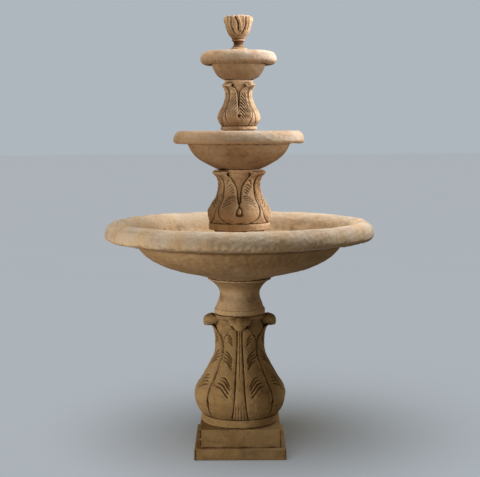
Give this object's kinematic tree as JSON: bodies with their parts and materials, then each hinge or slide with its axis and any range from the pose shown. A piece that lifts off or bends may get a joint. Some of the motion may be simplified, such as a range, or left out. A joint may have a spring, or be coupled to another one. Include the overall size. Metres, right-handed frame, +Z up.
{
  "type": "tiered water fountain",
  "caption": "Tiered cast-stone garden fountain: carved pedestals carry stacked bowls over a wide basin, with a hidden pump and a tulip finial spout.",
  "frame": {"origin": "on the ground at the centre of the plinth's underside", "axes": "+Z up along the water way, -Y towards the front, +X to the right; the cord way leaves at the back, +Y"},
  "size_m": [1.18, 1.18, 1.911],
  "materials": {
    "stone_dark": "aged cast stone with a dark brown wash",
    "stone_warm": "aged cast stone, golden brown",
    "stone_pale": "aged cast stone, pinkish tan",
    "black_rubber": "matt",
    "clear_vinyl": "milky flexible vinyl",
    "brass": "satin, slightly tarnished",
    "black_plastic": "fine moulded grain",
    "grey_plastic": "fine moulded grain",
    "ceramic": "polished",
    "magnet": "sintered ferrite"
  },
  "bodies": {
    "base": {"plinth": "stone_dark", "cord_grommet": "black_rubber", "lower_pedestal": "stone_dark", "bowl_stem": "stone_warm", "basin": "stone_warm", "gasket_plinth": "black_rubber", "gasket_stem": "black_rubber", "gasket_basin": "black_rubber", "pump_motor": "black_plastic", "pump_cord_gland": "black_rubber", "pump_volute": "black_plastic", "rotor_shaft": "ceramic", "shaft_bush_rear": "black_rubber", "shaft_bush_front": "black_rubber", "pump_front_cover": "black_plastic", "cover_o_ring": "black_rubber", "pump_foot_rear_left": "black_rubber", "pump_foot_rear_right": "black_rubber", "pump_foot_front_left": "black_rubber", "pump_foot_front_right": "black_rubber", "outlet_adapter": "grey_plastic"},
    "stopper": {"drain_stopper": "black_rubber"},
    "rotor": {"rotor_magnet": "magnet", "impeller": "grey_plastic"},
    "dial": {"flow_dial": "grey_plastic"},
    "chamber": {"pump_chamber": "stone_warm", "gasket_middle_pedestal": "black_rubber"},
    "middle_column": {"middle_pedestal": "stone_pale", "gasket_middle_bowl": "black_rubber", "supply_tube_lower": "clear_vinyl"},
    "middle_tier": {"middle_bowl": "stone_pale", "nipple_middle_bowl": "brass", "washer_middle_bowl_lower": "black_rubber", "washer_middle_bowl_upper": "black_rubber", "locknut_middle_bowl_lower": "brass", "locknut_middle_bowl_upper": "brass", "gasket_top_pedestal": "black_rubber"},
    "top_column": {"top_pedestal": "stone_pale", "gasket_top_bowl": "black_rubber", "supply_tube_upper": "clear_vinyl"},
    "top_tier": {"top_bowl": "stone_pale", "nipple_top_bowl": "brass", "washer_top_bowl_lower": "black_rubber", "washer_top_bowl_upper": "black_rubber", "locknut_top_bowl_lower": "brass", "locknut_top_bowl_upper": "brass", "gasket_finial": "black_rubber"},
    "crown": {"finial": "stone_pale", "spout": "brass"}
  },
  "joints": [
    {"name": "stopper_lift", "type": "slide", "parent": "base", "child": "stopper", "axis": [0, 0, 1], "range_m": [0, 0.04]},
    {"name": "rotor_spin", "type": "hinge", "parent": "base", "child": "rotor", "pos_m": [0, 0, 0.868], "axis": [1, 0, 0], "continuous": true},
    {"name": "dial_turn", "type": "hinge", "parent": "base", "child": "dial", "pos_m": [0.024, 0, 0.868], "axis": [1, 0, 0], "range_deg": [0, 22.5]},
    {"name": "chamber_lift", "type": "slide", "parent": "base", "child": "chamber", "axis": [0, 0, 1], "range_m": [0, 0.23]},
    {"name": "middle_pedestal_lift", "type": "slide", "parent": "chamber", "child": "middle_column", "axis": [0, 0, 1], "range_m": [0, 0.12]},
    {"name": "middle_bowl_lift", "type": "slide", "parent": "middle_column", "child": "middle_tier", "axis": [0, 0, 1], "range_m": [0, 0.08]},
    {"name": "top_pedestal_lift", "type": "slide", "parent": "middle_tier", "child": "top_column", "axis": [0, 0, 1], "range_m": [0, 0.08]},
    {"name": "top_bowl_lift", "type": "slide", "parent": "top_column", "child": "top_tier", "axis": [0, 0, 1], "range_m": [0, 0.08]},
    {"name": "finial_lift", "type": "slide", "parent": "top_tier", "child": "crown", "axis": [0, 0, 1], "range_m": [0, 0.08]}
  ]
}
